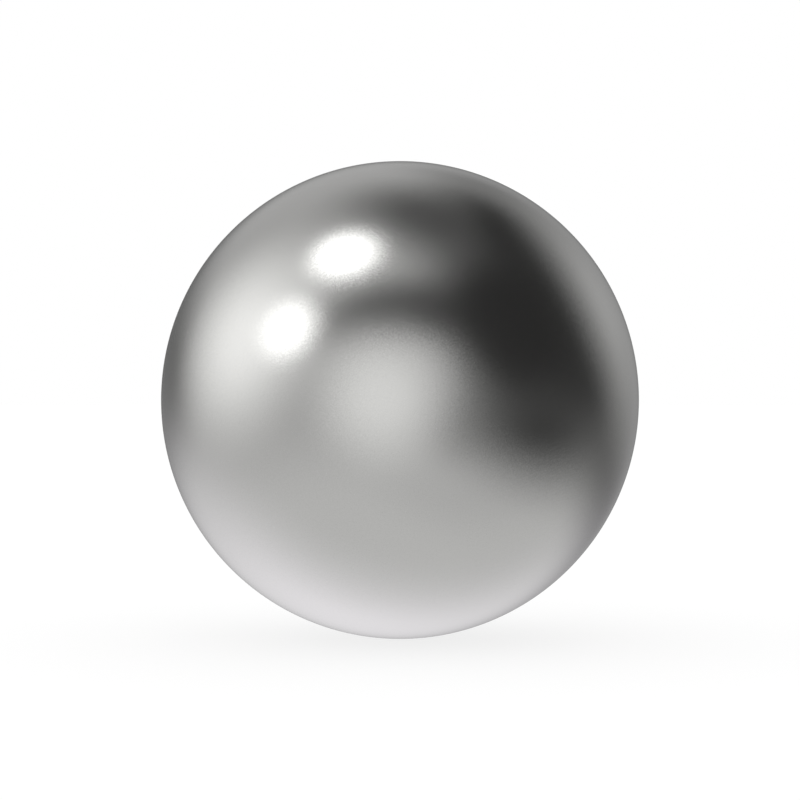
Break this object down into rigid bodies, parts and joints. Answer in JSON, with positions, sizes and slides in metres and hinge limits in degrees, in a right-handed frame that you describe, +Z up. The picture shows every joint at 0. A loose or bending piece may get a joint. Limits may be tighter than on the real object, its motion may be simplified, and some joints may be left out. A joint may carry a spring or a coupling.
{
  "type": "steel ball",
  "caption": "Solid round ball of satin-polished steel, lapped all over, that rolls or sits in a cup, ring, groove or race.",
  "frame": {"origin": "centre of the ball", "axes": "+Z up, from the point where the ball sits to its top; the ball is the same about every axis"},
  "size_m": [0.0254, 0.0254, 0.0254],
  "materials": {
    "polished_steel": "ground and lapped steel with a satin polish, neutral grey, very slightly warm"
  },
  "bodies": {
    "root": {"ball": "polished_steel"}
  },
  "joints": []
}
